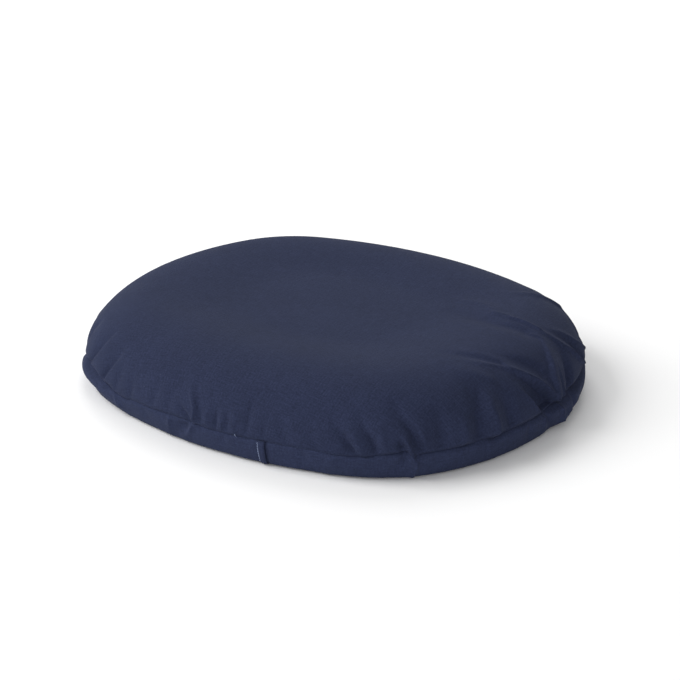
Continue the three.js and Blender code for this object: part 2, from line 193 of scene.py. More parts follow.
def fold(path, width, height, skew=0.0, flare=0.8, at_seam=0.15, reach=5.0):
    """A ridge (height above 0) or a valley (below 0) in the cloth, deepest at the start of its path.

    The path is in millimetres (along, up). A skew above 0 makes the left flank gentle and the
    right flank steep; a flare above 0 makes the fold wider towards the end of its path. At the
    seam itself only the share at_seam of the height is left, and all of it past the reach.
    """
    return np.array(path, float) * MM, width * MM, height * MM, skew, flare, at_seam, reach * MM


FOLDS = [
    # front, left of the middle: a tight pinch with small puckers beside it
    fold([(-11, 0), (-17, 5), (-25, 11), (-31, 20)], 3.2, -3.2, 0.3, 0.8, 0.4),
    fold([(-8, 0), (-8, 14), (-17, 26), (-29, 36)], 2.8, 2.6, -0.2, 0.8, 0.4),
    fold([(-1, 5), (-3, 14), (-9, 26), (-18, 38)], 3.2, -1.2),
    fold([(6, 4), (4, 26)], 3.0, 1.0), fold([(15, 2), (14, 25)], 3.2, -2.2),
    fold([(21, 3), (20, 24)], 2.6, 0.9), fold([(27, 3), (25, 26)], 3.0, -1.2),
    fold([(34, 2), (31, 30)], 3.0, 0.9), fold([(46, 2), (48, 44)], 4.0, -1.3),
    fold([(62, 0), (64, 30)], 3.4, -1.0), fold([(-38, 4), (-33, 44)], 7.0, -0.9),
    fold([(-58, 2), (-52, 34)], 5.0, -0.8), fold([(84, 2), (72, 30)], 5.0, -0.9),
    # front, right of the middle: slanting valleys that lean to the left
    fold([(112, 2), (94, 32)], 6.0, -1.0),
    fold([(146, 0), (138, 10), (128, 21), (117, 33)], 4.6, -4.0, 0.3),
    fold([(152, 2), (140, 20), (134, 28)], 3.6, 1.1),
    fold([(163, 0), (158, 14), (150, 25), (142, 40)], 4.9, -4.2, 0.3),
    fold([(171, 3), (163, 24), (158, 34)], 4.0, 1.2),
    fold([(184, 0), (181, 17)], 3.2, -4.6, 0.0, -0.5, 0.4),
    fold([(192, 0), (187, 10), (181, 19)], 2.3, 4.2, 0.0, 0.8, 0.6),
    fold([(200, 4), (193, 21), (183, 34), (175, 54)], 5.2, -3.6, 0.2),
    fold([(202, 8), (197, 32)], 4.0, 1.0),
    fold([(219, 4), (219, 24), (223, 44)], 8.5, -3.8, 0.2, 0.3),
    fold([(240, 5), (242, 34)], 6.0, 2.0, 0.0, 0.3),
    fold([(258, 0), (259, 22), (265, 40), (272, 58)], 7.5, -5.4, 0.35, 0.3),
    fold([(274, 2), (273, 24), (279, 46)], 5.0, 3.0, 0.0, 0.3),
    fold([(292, 6), (292, 26), (298, 48)], 7.5, -4.2, 0.2, 0.3),
    fold([(236, 0), (239, 10)], 2.0, 0.9), fold([(270, 0), (264, 10)], 2.2, 1.2),
    # right front corner: a deep wedge under a ridge, then folds gathered at one point of the seam
    fold([(359, 1), (349, 16), (337, 29), (322, 42), (310, 52)], 9.0, -8.4, 0.8, -0.8),
    fold([(362, 2), (352, 19), (341, 33), (325, 46), (310, 58), (292, 70), (270, 84)],
         2.8, 3.2, -0.3, 0.6, 0.0, 10.0),
    fold([(338, 1), (329, 14), (321, 26), (313, 38)], 5.0, -4.6, -0.6, -0.6),
    fold([(330, 2), (322, 16), (313, 30), (306, 44)], 3.2, 2.2, 0.0, 0.3),
    fold([(352, 38), (340, 50), (326, 63), (312, 76)], 8.0, -2.6, 0.3, 0.3),
    fold([(360, 2), (358, 15), (361, 27), (373, 40), (389, 53), (404, 68)],
         6.0, 4.2, -0.8, 0.6, 0.0, 17.0),
    fold([(369, 4), (370, 16), (375, 28), (387, 42)], 2.2, 2.0),
    fold([(386, 2), (396, 20), (406, 38), (408, 48)], 6.5, -4.2, 0.3, 0.3),
    # right end: ridges that run from the seam back over the crown
    fold([(446, 4), (428, 16), (413, 38), (408, 54), (401, 68), (404, 84)], 3.2, 2.6, -0.4, 0.6),
    fold([(446, 12), (436, 27), (421, 46), (413, 60)], 4.4, -2.6, 0.3, 0.2),
    fold([(460, 14), (442, 28), (431, 45), (421, 58), (414, 70)], 3.4, 2.2, -0.2, 0.6),
    fold([(408, 64), (416, 92), (430, 108), (470, 120), (502, 131), (560, 148)], 4.6, 2.0, -0.4, 0.8),
    fold([(395, 74), (397, 98), (417, 119), (444, 134), (476, 150)], 12.0, -2.5, 0.3, 0.3),
    fold([(314, 60), (299, 78), (279, 94), (258, 108)], 6.5, -1.6, 0.3, 0.4),
    fold([(288, 50), (268, 66), (246, 80)], 9.0, 1.2), fold([(490, 8), (474, 40)], 7.0, -2.4),
    fold([(516, 40), (520, 100)], 7.0, 1.6),
    # left end
    fold([(-137, 1), (-130, 12), (-119, 27), (-117, 40)], 3.8, -3.3, 0.5),
    fold([(-171, 2), (-157, 21), (-150, 38), (-146, 52)], 4.4, -3.4, 0.5),
    fold([(-90, 0), (-87, 26)], 5.0, -1.5), fold([(-112, 4), (-104, 30)], 5.0, -0.9),
    fold([(-210, 3), (-188, 50)], 6.0, -1.6),
    # boxing band, below the pinches
    fold([(-9, -2), (-21, -19)], 2.6, 2.0), fold([(-15, -2), (-29, -14)], 5.5, -3.2),
    fold([(-36, -2), (-40, -18)], 3.2, 1.7),
    fold([(192, 0), (196, -10), (193, -24)], 2.8, 3.6, 0.35, 0.3, 0.7),
    fold([(187, 0), (183, -8), (174, -18)], 3.6, -3.6, 0.0, 0.6, 0.5),
    fold([(212, -4), (216, -18)], 5.0, -1.2),
    fold([(340, -1), (354, -22)], 4.5, -3.2), fold([(336, -1), (339, -16)], 2.4, 2.2),
    fold([(364, -2), (368, -20)], 3.4, 2.6), fold([(366, -16), (382, -13), (404, -12)], 4.6, 3.2),
    fold([(314, -3), (318, -20)], 5.0, -1.8),
    fold([(236, -1), (240, -18)], 3.0, 1.1), fold([(126, -2), (120, -20)], 6.0, 1.4),
    fold([(98, -3), (100, -20)], 6.0, -1.2), fold([(-70, -3), (-62, -20)], 8.0, -1.0),
    fold([(-112, -3), (-100, -20)], 4.0, 1.4),
    fold([(-214, -9), (-180, -8), (-150, -8), (-126, -10), (-110, -12)], 5.0, 4.6),
    fold([(24, -4), (20, -18)], 6.0, -0.9),
    fold([(264, -3), (270, -18)], 6.0, 1.2), fold([(392, -2), (388, -20)], 4.0, -2.2),
]
FOLDED_FROM, FOLDED_TO = -230, 530
PUCKER_SPACING = 17
PUCKER_SEED = 5
CREASE_WIDTH = 5 * MM
CREASE_POWER = 1.4
ROUND_POWER = 2
FADE_FROM = 0.25
BAND_FADE = 0.6


def more_puckers():
    """Smaller puckers round the rear of the cushion, each a ridge or a valley rising from the seam."""
    draw = np.random.default_rng(PUCKER_SEED)
    found = []
    place = FOLDED_TO
    end = FOLDED_FROM + PERIMETER / MM
    while place < end:
        lean, length = draw.uniform(-12, 12), draw.uniform(22, 58)
        width, height = draw.uniform(3, 7), draw.uniform(0.9, 2.4)
        sign = 1 if draw.random() < 0.4 else -1
        found.append(fold([(place, 1), (place + lean, length)], width, sign * height))
        place += PUCKER_SPACING * draw.uniform(0.6, 1.4)
    return found


def fold_height(along, up, folds):
    """How far the folds lift the cloth off the smooth surface."""
    total = np.zeros(np.shape(along))
    for path, width, height, skew, flare, at_seam, reach in folds:
        steps = np.diff(path, axis=0)
        lengths = np.hypot(steps[:, 0], steps[:, 1])
        nearest = np.full(total.shape, np.inf)
        signed = np.zeros(total.shape)
        share = np.zeros(total.shape)
        gone = 0.0
        for (start_along, start_up), (lean, rise), length in zip(path[:-1], steps, lengths):
            across, above = wrapped(along - start_along), up - start_up
            held = np.clip((across * lean + above * rise) / length**2, 0, 1)
            off = np.hypot(across - held * lean, above - held * rise)
            closer = off < nearest
            nearest = np.where(closer, off, nearest)
            side = np.sign(across * rise - above * lean) * math.copysign(1, path[-1, 1] - path[0, 1])
            signed = np.where(closer, side, signed)
            share = np.where(closer, (gone + held * length) / lengths.sum(), share)
            gone += length
        spread = width * (1 + flare * (share - 0.5)) * (1 - skew * signed)
        crease = CREASE_POWER if width < CREASE_WIDTH else ROUND_POWER
        own_side = up * path[-1, 1] >= 0
        clear = smooth(np.abs(up) / reach)
        near_seam = np.where(own_side, at_seam + (1 - at_seam) * clear, at_seam * (1 - clear))
        most = 1 if path[-1, 1] > 0 else BAND_FADE
        fade = 1 - smooth((share - FADE_FROM) / (1 - FADE_FROM)) * most
        total += height * fade * near_seam * np.exp(-((nearest / spread) ** crease))
    return total


# The ridge above the wedge leans over it: its crest moves this far across the ridge's own line.
OVERHANG = fold([(360, 3), (352, 19), (341, 33), (325, 46), (312, 56)], 4.2, 4.2, -0.3, 0.3, 0.15, 9.0)


def draped(along, up):
    """Where each point of the top panel lies once the ridge beside the wedge hangs over it."""
    path = OVERHANG[0]
    ahead = (path[-1] - path[0]) / np.linalg.norm(path[-1] - path[0])
    moved = fold_height(along, up, [OVERHANG])
    return along - moved * ahead[1], up + moved * ahead[0]


# How far the top seam lies above its even line, as (along, rise) in millimetres.
SEAM_PATH = np.array([
    (-300, 0), (-150, -1), (-128, -3), (-106, -4.5), (-94, -4.5), (-88, -2.5), (-60, -1.5), (-36, 0.2),
    (-24, 0.6), (-10, 0), (8, -1.2), (30, -0.8), (60, 0), (110, 0), (126, -1.6), (150, -1.8), (162, 0),
    (176, 1.8), (187, 2.4), (192, -1.4), (204, 0), (262, 0.4), (271, -1.2), (282, 0.4), (332, 0.8),
    (345, -0.8), (362, 1.0), (370, 0), (520, 0),
]) * MM


def seam_shift(along, up):
    """How far the cloth is drawn up or down together with the seam."""
    rise = np.interp(wrapped(along), SEAM_PATH[:, 0], SEAM_PATH[:, 1])
    return rise * np.exp(-((up / (16 * MM)) ** 2)) * smooth((up + BAND_WIDTH) / (14 * MM))


ALL_FOLDS = FOLDS + more_puckers()


# ---- Meshes from grids ----

def mesh_object(name, points, faces, cloth_uv=None):
    """A smooth-shaded mesh; cloth_uv gives each point's place on the flat cloth, in metres."""
    mesh = bpy.data.meshes.new(name)
    mesh.from_pydata(np.asarray(points, float).tolist(), [], faces)
    mesh.polygons.foreach_set("use_smooth", [True] * len(mesh.polygons))
    if cloth_uv is not None:
        corners = np.zeros(len(mesh.loops), np.int32)
        mesh.loops.foreach_get("vertex_index", corners)
        layer = mesh.uv_layers.new(name="cloth")
        layer.data.foreach_set("uv", np.asarray(cloth_uv, np.float32)[corners].ravel())
    mesh.update()
    piece = bpy.data.objects.new(name, mesh)
    bpy.context.scene.collection.objects.link(piece)
    return piece


def grid_faces(rows, columns, closed):
    """Quads of a grid of points, rows up and columns along, facing out."""
    faces = []
    last = columns if closed else columns - 1
    for row in range(rows - 1):
        low, high = row * columns, (row + 1) * columns
        for column in range(last):
            beside = (column + 1) % columns
            faces.append((low + column, low + beside, high + beside, high + column))
    return faces


def grid_object(name, grid, closed=True, pole=None, cloth_uv=None):
    rows, columns = grid.shape[:2]
    points = grid.reshape(-1, 3)
    uv = None if cloth_uv is None else cloth_uv.reshape(-1, 2)
    faces = grid_faces(rows, columns, closed)
    if pole is not None:
        tip = len(points)
        points = np.vstack([points, pole])
        uv = None if uv is None else np.vstack([uv, [0, 0]])
        top = (rows - 1) * columns
        faces += [(top + c, top + (c + 1) % columns, tip) for c in range(columns)]
    return mesh_object(name, points, faces, uv)


def thicken(piece, thickness=CLOTH_THICKNESS):
    """Gives a single layer of cloth its thickness, on the inner side."""
    solid = piece.modifiers.new("thickness", "SOLIDIFY")
    solid.thickness = thickness
    solid.offset = -1
    solid.use_rim = True
    return piece


def rings_to_mesh(groups, looped=False):
    """Points and faces of closed tubes, one for each group of rings."""
    points, faces = [], []
    for rings in groups:
        start = len(points)
        count, sides = rings.shape[:2]
        points.extend(rings.reshape(-1, 3).tolist())
        for ring in range(count if looped else count - 1):
            low, high = start + ring * sides, start + ((ring + 1) % count) * sides
            for side in range(sides):
                beside = (side + 1) % sides
                faces.append((low + side, low + beside, high + beside, high + side))
        if not looped:
            faces.append(tuple(start + side for side in reversed(range(sides))))
            faces.append(tuple(start + (count - 1) * sides + side for side in range(sides)))
    return points, faces


def tubes_object(name, groups, looped=False):
    piece = mesh_object(name, *rings_to_mesh(groups, looped))
    fix_normals(piece)
    return piece


def fix_normals(piece):
    shape = bmesh.new()
    shape.from_mesh(piece.data)
    bmesh.ops.recalc_face_normals(shape, faces=shape.faces)
    shape.to_mesh(piece.data)
    shape.free()


# ---- Places on the leaning boxing band: rise up the band, depth in from its outer face ----

STRIP_LOW, STRIP_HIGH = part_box("boxing_strip_right")
LEAN = math.atan2(BASE_INSET, STRIP_HIGH.z - STRIP_LOW.z)
RISE_FULL = math.hypot(BASE_INSET, STRIP_HIGH.z - STRIP_LOW.z)
ZIP_RISE = RISE_FULL / 2
REAR = PERIMETER / 2
ZIP_HALF = 126.5 * MM
CHAIN_HALF = 119 * MM


def band_place(along, rise, depth):
    points, outs = outline(along)
    inset = BASE_INSET - rise * math.sin(LEAN) + depth * math.cos(LEAN)
    height = STRIP_LOW.z + rise * math.cos(LEAN) + depth * math.sin(LEAN)
    inset, height = np.broadcast_to(inset, points.shape[:-1]), np.broadcast_to(height, points.shape[:-1])
    return np.concatenate([points - outs * inset[..., None], height[..., None]], -1)


def rounded_section(rise_from, rise_to, depth_from, depth_to, corner_steps=3):
    """A flat strip's section with rounded edges, as (rise, depth) pairs."""
    radius = (depth_to - depth_from) / 2 * 0.98
    middle = (depth_from + depth_to) / 2
    pairs = []
    for centre, first in ((rise_to - radius, 0.0), (rise_from + radius, math.pi)):
        for step in range(2 * corner_steps + 1):
            angle = first - math.pi / 2 + math.pi * step / (2 * corner_steps)
            pairs.append((centre + radius * math.cos(angle), middle + radius * math.sin(angle)))
    return pairs


def strip_object(name, start, end, section, step=3 * MM):
    """A section swept along the band between two places."""
    count = max(4, int(math.ceil((end - start) / step)))
    along = np.linspace(start, end, count)
    rings = np.stack([band_place(along, rise, depth) for rise, depth in section], axis=1)
    return tubes_object(name, [rings])


def stitch(start, end, out, thickness, steps=7, sides=6):
    """One raised stitch between two points, as the rings of a small tube."""
    start, end, out = (np.asarray(v, float) for v in (start, end, out))
    ahead = (end - start) / np.linalg.norm(end - start)
    side = np.cross(ahead, out)
    rings = []
    for share in np.linspace(0, 1, steps):
        arch = math.sin(math.pi * share)
        radius = thickness / 2 * (0.35 + 0.65 * arch**0.5)
        middle = start + (end - start) * share + out * thickness * 0.5 * (arch - 0.6)
        turns = np.arange(sides) / sides * 2 * math.pi
        rings.append(middle + radius * (np.cos(turns)[:, None] * side + np.sin(turns)[:, None] * out))
    return np.stack(rings)


def stitch_row(name, places, outs, thickness=0.55 * MM, fill=0.78):
    """Stitches along a line of points, each filling most of its step."""
    groups = []
    for here, there, out in zip(places[:-1], places[1:], outs[:-1]):
        trim = (there - here) * (1 - fill) / 2
        groups.append(stitch(here + trim, there - trim, out, thickness))
    return tubes_object(name, groups)


# ---- Cover ----

# How tightly the top seam is drawn in, as (along in millimetres, share).
SEAM_TIGHTNESS = np.array([
    (-204, 0), (-184, 0.9), (-150, 0.9), (-138, 0.3), (-126, 0.5), (-116, 0.05), (66, 0),
    (82, -0.14), (124, -0.14), (142, 0.18),
    (250, 0.24), (272, 0.42), (328, 0.5), (346, 1), (440, 1), (500, 0.2), (540, 0),
])


# The pinch right of the middle carries its ridge across the seam, centred at BRIDGED.
BRIDGED = 191.5 * MM
BRIDGE_HALF = 3.2 * MM
BRIDGE_SHARE = 0.9
GROOVE_LOOSE = 1.3
GROOVE_TIGHT = 4.4


def tightness(along):
    return np.interp(wrapped(np.asarray(along)) / MM, SEAM_TIGHTNESS[:, 0], SEAM_TIGHTNESS[:, 1])


def groove_depth(along):
    """How far the seam is drawn in. A ridge bridges it where it crosses the seam."""
    bridge = np.exp(-((wrapped(np.asarray(along) - BRIDGED) / BRIDGE_HALF) ** 2))
    return (GROOVE_LOOSE + GROOVE_TIGHT * tightness(along)) * (1 - BRIDGE_SHARE * bridge) * MM


def seam_roll(along, up):
    """The inward roll of the cloth close to the seam, with a flat foot where it is tight."""
    tight = np.maximum(tightness(along), 0)
    away = np.clip(np.abs(up) - np.where(up > 0, 2.2, 0.8) * MM * tight, 0, None)
    return groove_depth(along) * (1 - np.sqrt(smooth(away / ((3.2 + 1.6 * tight) * MM))))


def shifted(grid, along, up, closed=True, lift=None, facing=None):
    """Moves a smooth surface by the folds and the seam's roll.

    The folds stand along the normals of the facing grid, which is the surface itself unless it
    is draped: where a draped surface turns under, its own normals would point inwards.
    """
    normal = normals_of(grid if facing is None else facing, closed)
    _, outs = outline(along)
    out = np.concatenate([outs, np.zeros(outs.shape[:-1] + (1,))], -1)
    share = smooth(np.abs(up) / (6 * MM))[..., None]
    way = out * (1 - share) + normal * share
    way /= np.linalg.norm(way, axis=-1, keepdims=True)
    if lift is None:
        lift = fold_height(along, up, ALL_FOLDS)
    moved = grid + way * lift[..., None] - out * seam_roll(along, up)[..., None]
    moved[..., 2] += seam_shift(along, up)
    return moved


TUCK = 2.2 * MM


def tucked(edge, along):
    """A row of points turned in behind a seam."""
    _, outs = outline(along)
    moved = edge.copy()
    moved[..., :2] -= outs * TUCK
    return moved


def top_grid(columns, shoulder_rows, dish_rows):
    shoulder = np.linspace(0, 1, shoulder_rows) ** 1.15 * SHOULDER_LENGTH
    dish = SHOULDER_LENGTH + DISH_RUN * np.linspace(0, 0.97, dish_rows + 1)[1:]
    places = np.arange(columns) * PERIMETER / columns
    return np.meshgrid(places, np.concatenate([shoulder, dish]))


def flat_place(along, up):
    """Where a point of the top panel lies on the flat cloth that it was cut from."""
    points, outs = outline(along)
    crown = points - outs * SHOULDER_RUN
    share = 1 - np.clip((up - SHOULDER_LENGTH) / DISH_RUN, 0, 1)
    over = np.clip(SHOULDER_LENGTH - up, 0, None)
    return crown * share[..., None] + outs * over[..., None]


# ---- Cloth simulation of the top panel ----

SIM_COLUMNS = 320
SIM_FRAMES = 18
SIM_CAP = 3.5 * MM
SIM_LIFT = 1.25
SIM_PRESSURE = 3.0
SIM_SLACK = 0.022
LIFT_LIMIT = 3.6 * MM
LIFT_SPARE = 0.8 * MM


def simulate_cloth(grid, held, loose):
    """Settles a closed grid of cloth, held where held is 1 and with spare cloth where loose is 1."""
    centre = grid[-1].mean(0)
    piece = grid_object("cloth_sim", grid, pole=centre)
    group = piece.vertex_groups.new(name="held")
    weights = np.append(held.ravel(), 1.0)
    for index in np.nonzero(weights > 0)[0]:
        group.add([int(index)], float(weights[index]), "REPLACE")
    slack = piece.vertex_groups.new(name="loose")
    for index in np.nonzero(loose.ravel() > 0)[0]:
        slack.add([int(index)], float(loose.ravel()[index]), "REPLACE")
    cloth = piece.modifiers.new("cloth", "CLOTH")
    settings = cloth.settings
    settings.quality = 6
    settings.mass = 0.25
    settings.tension_stiffness = 25
    settings.compression_stiffness = 12
    settings.shear_stiffness = 8
    settings.bending_stiffness = 0.4
    settings.tension_damping = 12
    settings.air_damping = 4
    settings.vertex_group_mass = "held"
    settings.use_pressure = True
    settings.uniform_pressure_force = SIM_PRESSURE
    settings.vertex_group_shrink = "loose"
    settings.shrink_min = 0
    settings.shrink_max = -SIM_SLACK
    settings.effector_weights.gravity = 0
    cloth.collision_settings.use_collision = False
    cloth.point_cache.frame_start = 1
    cloth.point_cache.frame_end = SIM_FRAMES
    scene = bpy.context.scene
    for step in range(1, SIM_FRAMES + 1):
        scene.frame_set(step)
    settled = piece.evaluated_get(bpy.context.evaluated_depsgraph_get()).to_mesh()
    points = np.zeros(len(settled.vertices) * 3)
    settled.vertices.foreach_get("co", points)
    moved = points.reshape(-1, 3)[:-1].reshape(grid.shape)
    scene.frame_set(1)
    bpy.data.objects.remove(piece)
    return moved


def capped(move, limit):
    size = np.linalg.norm(move, axis=-1, keepdims=True)
    return move * np.minimum(1, limit / np.maximum(size, 1e-9))


def resampled(field, along, up, new_along, new_up):
    """A closed field given on a grid, read smoothly at another grid's places."""
    step = along[0, 1] - along[0, 0]
    columns = field.shape[1]

    def cubic(values, position, count, wrap):
        base = np.floor(position).astype(int)
        t = (position - base)[:, None, None]
        total = 0
        weights = ((-t + 2 * t**2 - t**3) / 2, (2 - 5 * t**2 + 3 * t**3) / 2,
                   (t + 4 * t**2 - 3 * t**3) / 2, (-(t**2) + t**3) / 2)
        for offset, weight in zip((-1, 0, 1, 2), weights):
            index = base + offset
            index = np.mod(index, count) if wrap else np.clip(index, 0, count - 1)
            total = total + values[index] * weight
        return total

    by_column = cubic(np.swapaxes(field, 0, 1), new_along[0] / step, columns, True)
    rows = np.interp(new_up[:, 0], up[:, 0], np.arange(len(up)))
    return cubic(np.swapaxes(by_column, 0, 1), rows, len(up), False)


def lift_boost(up):
    """Makes up for what the simulation smooths away; nothing at the seam."""
    return 1 + (SIM_LIFT - 1) * smooth(up / (10 * MM))


def eased(lift):
    """Folds that meet don't pile up: the cloth stands off by little more than the limit."""
    over = np.maximum(lift - LIFT_LIMIT, 0)
    return np.minimum(lift, LIFT_LIMIT) + LIFT_SPARE * np.tanh(over / LIFT_SPARE)


def settle_top(along, up):
    """How the simulation moves each point of the fine top grid."""
    rough_along, rough_up = top_grid(SIM_COLUMNS, SHOULDER_ROWS // 2, DISH_ROWS // 2)
    lift = eased(fold_height(rough_along, rough_up, ALL_FOLDS) * lift_boost(rough_up))
    start = shifted(top_surface(*draped(rough_along, rough_up)), rough_along, rough_up, lift=lift,
                    facing=top_surface(rough_along, rough_up))
    held = 1 - smooth(rough_up / (5 * MM))
    held = np.maximum(held, smooth((rough_up - SHOULDER_LENGTH * 1.1) / (40 * MM)))
    held[0] = 1
    loose = 1 - smooth((rough_up - 18 * MM) / (34 * MM))
    moved = simulate_cloth(start, held, loose)
    kept = 0.2 + 0.8 * (1 - smooth((rough_up - 40 * MM) / (34 * MM)))
    move = capped(moved - start, SIM_CAP) * kept[..., None]
    return resampled(move, rough_along, rough_up, along, up)


def make_top():
    along, up = top_grid(COLUMNS, SHOULDER_ROWS, DISH_ROWS)
    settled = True
    lift = eased(fold_height(along, up, ALL_FOLDS) * (lift_boost(up) if settled else 1))
    grid = shifted(top_surface(*draped(along, up)), along, up, lift=lift, facing=top_surface(along, up))
    if settled:
        grid = grid + settle_top(along, up)
    flat = flat_place(along, up)
    grid = np.vstack([tucked(grid[:1], along[:1]), grid])
    flat = np.vstack([flat[:1], flat])
    piece = grid_object("cover_top", grid, pole=np.array([0, 0, dish_height(0)]), cloth_uv=flat)
    return thicken(piece)


def band_grid(start, end):
    length = end - start
    count = max(8, int(round(length / PERIMETER * COLUMNS * 1.6)))
    columns = start + np.linspace(0, length, count)
    return np.meshgrid(columns, np.linspace(-BAND_WIDTH, 0, BAND_ROWS))


def flatness_by_zip(along):
    """0 where the band is flat for the zip, 1 elsewhere."""
    return smooth((np.abs(wrapped(along - REAR)) - ZIP_HALF) / (25 * MM))


BELLY = 1.3 * MM
BELLY_POWER = 0.8
PLUMP_BELLY = 2.6
PLUMP_AT = 400 * MM
BASE_ROLL = 2.0 * MM
BAND_FLOOR = 0.4 * MM


def band_belly(along):
    """How far the band bulges half way down: more round the right end, where the seam is tight."""
    from_middle = np.abs(wrapped(along - PLUMP_AT))
    return BELLY + PLUMP_BELLY * (1 - smooth((from_middle - 30 * MM) / (40 * MM))) * MM


def make_band(name, start, end, raised=None):
    along, up = band_grid(start, end)
    grid = band_surface(along, up)
    _, outs = outline(along)
    share = -up / BAND_WIDTH
    free = flatness_by_zip(along)
    belly = band_belly(along) * np.sin(math.pi * share) ** BELLY_POWER * free
    base_roll = BASE_ROLL * (1 - np.sqrt(smooth((1 - share) * BAND_WIDTH / (4 * MM))))
    out = belly - base_roll
    if raised is not None:
        out = out + raised(along)
    grid[..., :2] += outs * out[..., None]
    grid = shifted(grid, along, up, closed=False)
    grid = np.vstack([tucked(grid[:1], along[:1]), grid, tucked(grid[-1:], along[-1:])])
    grid[0, :, 2] = 0
    grid[..., 2] = np.maximum(grid[..., 2], BAND_FLOOR)
    flat = np.stack([along, up], -1)
    flat = np.vstack([flat[:1], flat, flat[-1:]])
    return thicken(grid_object(name, grid, closed=False, cloth_uv=flat))


LAP = 64 * MM
LAP_WIDTH = 6.6 * MM
LAP_RAISE = 1.8 * MM


def lap_raise(along):
    """The raised fold at the left strip's end: up over the stitch line, down at its edge."""
    rise = smooth((along - (LAP - LAP_WIDTH)) / (1.2 * MM))
    edge = np.sqrt(np.clip((LAP - along) / (1.3 * MM), 0, 1))
    return LAP_RAISE * rise * (0.15 + 0.85 * edge)


def under_lap(along):
    """The right strip dips where it comes out from under the lap."""
    return -1.1 * MM * (1 - smooth((along - LAP) / (4 * MM)))


def make_bottom():
    shares = np.array([1.0, 0.997, 0.99, 0.97, 0.9, 0.8, 0.6, 0.4, 0.2, 0.08])
    columns = np.arange(COLUMNS // 2) * 2 * PERIMETER / COLUMNS
    points, outs = outline(columns)
    rim = points - outs * (BASE_INSET + 1.2 * MM)
    ripple = 0.25 * MM * (1 + np.sin(columns / (11 * MM)))
    rows = []
    for share in shares:
        near = 1 - smooth((1 - share) / 0.03)
        height = 0.1 * MM + near * (0.5 * MM + ripple)
        rows.append(np.column_stack([rim * share, height]))
    grid = np.stack(rows)
    piece = grid_object("cover_bottom", grid, pole=np.array([0, 0, 0.1 * MM]), cloth_uv=grid[..., :2])
    for polygon in piece.data.polygons:
        polygon.flip()
    solid = piece.modifiers.new("thickness", "SOLIDIFY")
    solid.thickness = CLOTH_THICKNESS
    solid.offset = -1
    return piece


FOAM_CLEAR = 12 * MM
FOAM_HOLE = 0.547


def make_foam():
    """The foam ring: a closed ring, set well in under the folds of the cover."""
    clear, hole = FOAM_CLEAR, FOAM_HOLE
    columns = np.arange(COLUMNS // 4) * 4 * PERIMETER / COLUMNS
    points, outs = outline(columns)
    rows = []

    def row(inset, height):
        rows.append(np.column_stack([points - outs * inset, np.full(len(columns), height)]))

    def inner(share, height):
        rim = (points - outs * SHOULDER_RUN) * share
        rows.append(np.column_stack([rim, np.full(len(columns), height)]))

    inner(hole + 0.02, 2 * MM)
    row(BASE_INSET + clear + 2 * MM, 2 * MM)
    row(BASE_INSET + clear, 4 * MM)
    row(clear, SEAM_HEIGHT)
    for angle in np.linspace(0.35, math.pi / 2, 10):
        row(SHOULDER_RUN - (SHOULDER_RUN - clear) * math.cos(angle),
            SEAM_HEIGHT + (SHOULDER_RISE - clear) * math.sin(angle))
    for share in (0.9, 0.8, 0.7, 0.62, 0.57):
        inner(share, dish_height(share) - clear)
    inner(hole, dish_height(hole) - clear - 3 * MM)
    inner(hole - 0.01, HEIGHT / 2)
    inner(hole, 4 * MM)
    return tubes_object("foam_core", [np.stack(rows)], looped=True)


# ---- Zip ----

ZIP_START, ZIP_END = REAR - ZIP_HALF, REAR + ZIP_HALF
OPENING_HALF = 3.05 * MM
SLOT_HALF = 0.6 * MM
COIL_REACH = 2.7 * MM
COIL_PITCH = 1.35 * MM


def make_placket(side, direction):
    near = ZIP_RISE + direction * OPENING_HALF
    far = RISE_FULL + 0.6 * MM if direction > 0 else -1.0 * MM
    low, high = sorted((near, far))
    section = rounded_section(low, high, 0.0, FABRIC)
    return strip_object(f"placket_{side}", ZIP_START - 2 * MM, ZIP_END + 2 * MM, section)


def make_tape(side, direction):
    low, high = sorted((ZIP_RISE + direction * SLOT_HALF, ZIP_RISE + direction * 9 * MM))
    section = rounded_section(low, high, 2.2 * MM, 2.75 * MM)
    return strip_object(f"tape_{side}", ZIP_START + MM, ZIP_END - MM, section)


def make_coil(side, direction):
    """One side of the zip's coil: a nylon thread wound into flattened loops along the tape."""
    turns = int((2 * CHAIN_HALF) / COIL_PITCH)
    per_turn, sides, radius = 14, 6, 0.3 * MM
    angle = np.arange(turns * per_turn + 1) / per_turn * 2 * math.pi
    along = REAR - CHAIN_HALF + angle / (2 * math.pi) * COIL_PITCH
    across = (COIL_REACH - SLOT_HALF) / 2 - radius
    middle = (COIL_REACH + SLOT_HALF) / 2
    rise = ZIP_RISE + direction * (middle - across * np.cos(angle))
    depth = 1.05 * MM + 0.5 * MM * np.sin(angle)
    line = band_place(along, rise, depth)
    ahead = np.gradient(line, axis=0)
    ahead /= np.linalg.norm(ahead, axis=1, keepdims=True)
    _, outs = outline(along)
    run = np.column_stack([-outs[:, 1], outs[:, 0], np.zeros(len(along))])
    first = np.cross(ahead, run)
    first /= np.linalg.norm(first, axis=1, keepdims=True)
    second = np.cross(ahead, first)
    turn = np.arange(sides) / sides * 2 * math.pi
    rings = (line[:, None] + radius * (np.cos(turn)[None, :, None] * first[:, None]
                                       + np.sin(turn)[None, :, None] * second[:, None]))
    return tubes_object(f"coil_{side}", [rings])


def make_zip_stitches(side, direction):
    count = int(2 * CHAIN_HALF / (3.1 * MM))
    along = np.linspace(REAR - CHAIN_HALF, REAR + CHAIN_HALF, count)
    rise = ZIP_RISE + direction * (OPENING_HALF + 1.2 * MM)
    places = band_place(along, rise, -0.1 * MM)
    _, outs = outline(along)
    out = np.column_stack([outs, np.zeros(count)])
    return stitch_row(f"stitches_{side}", places, out)


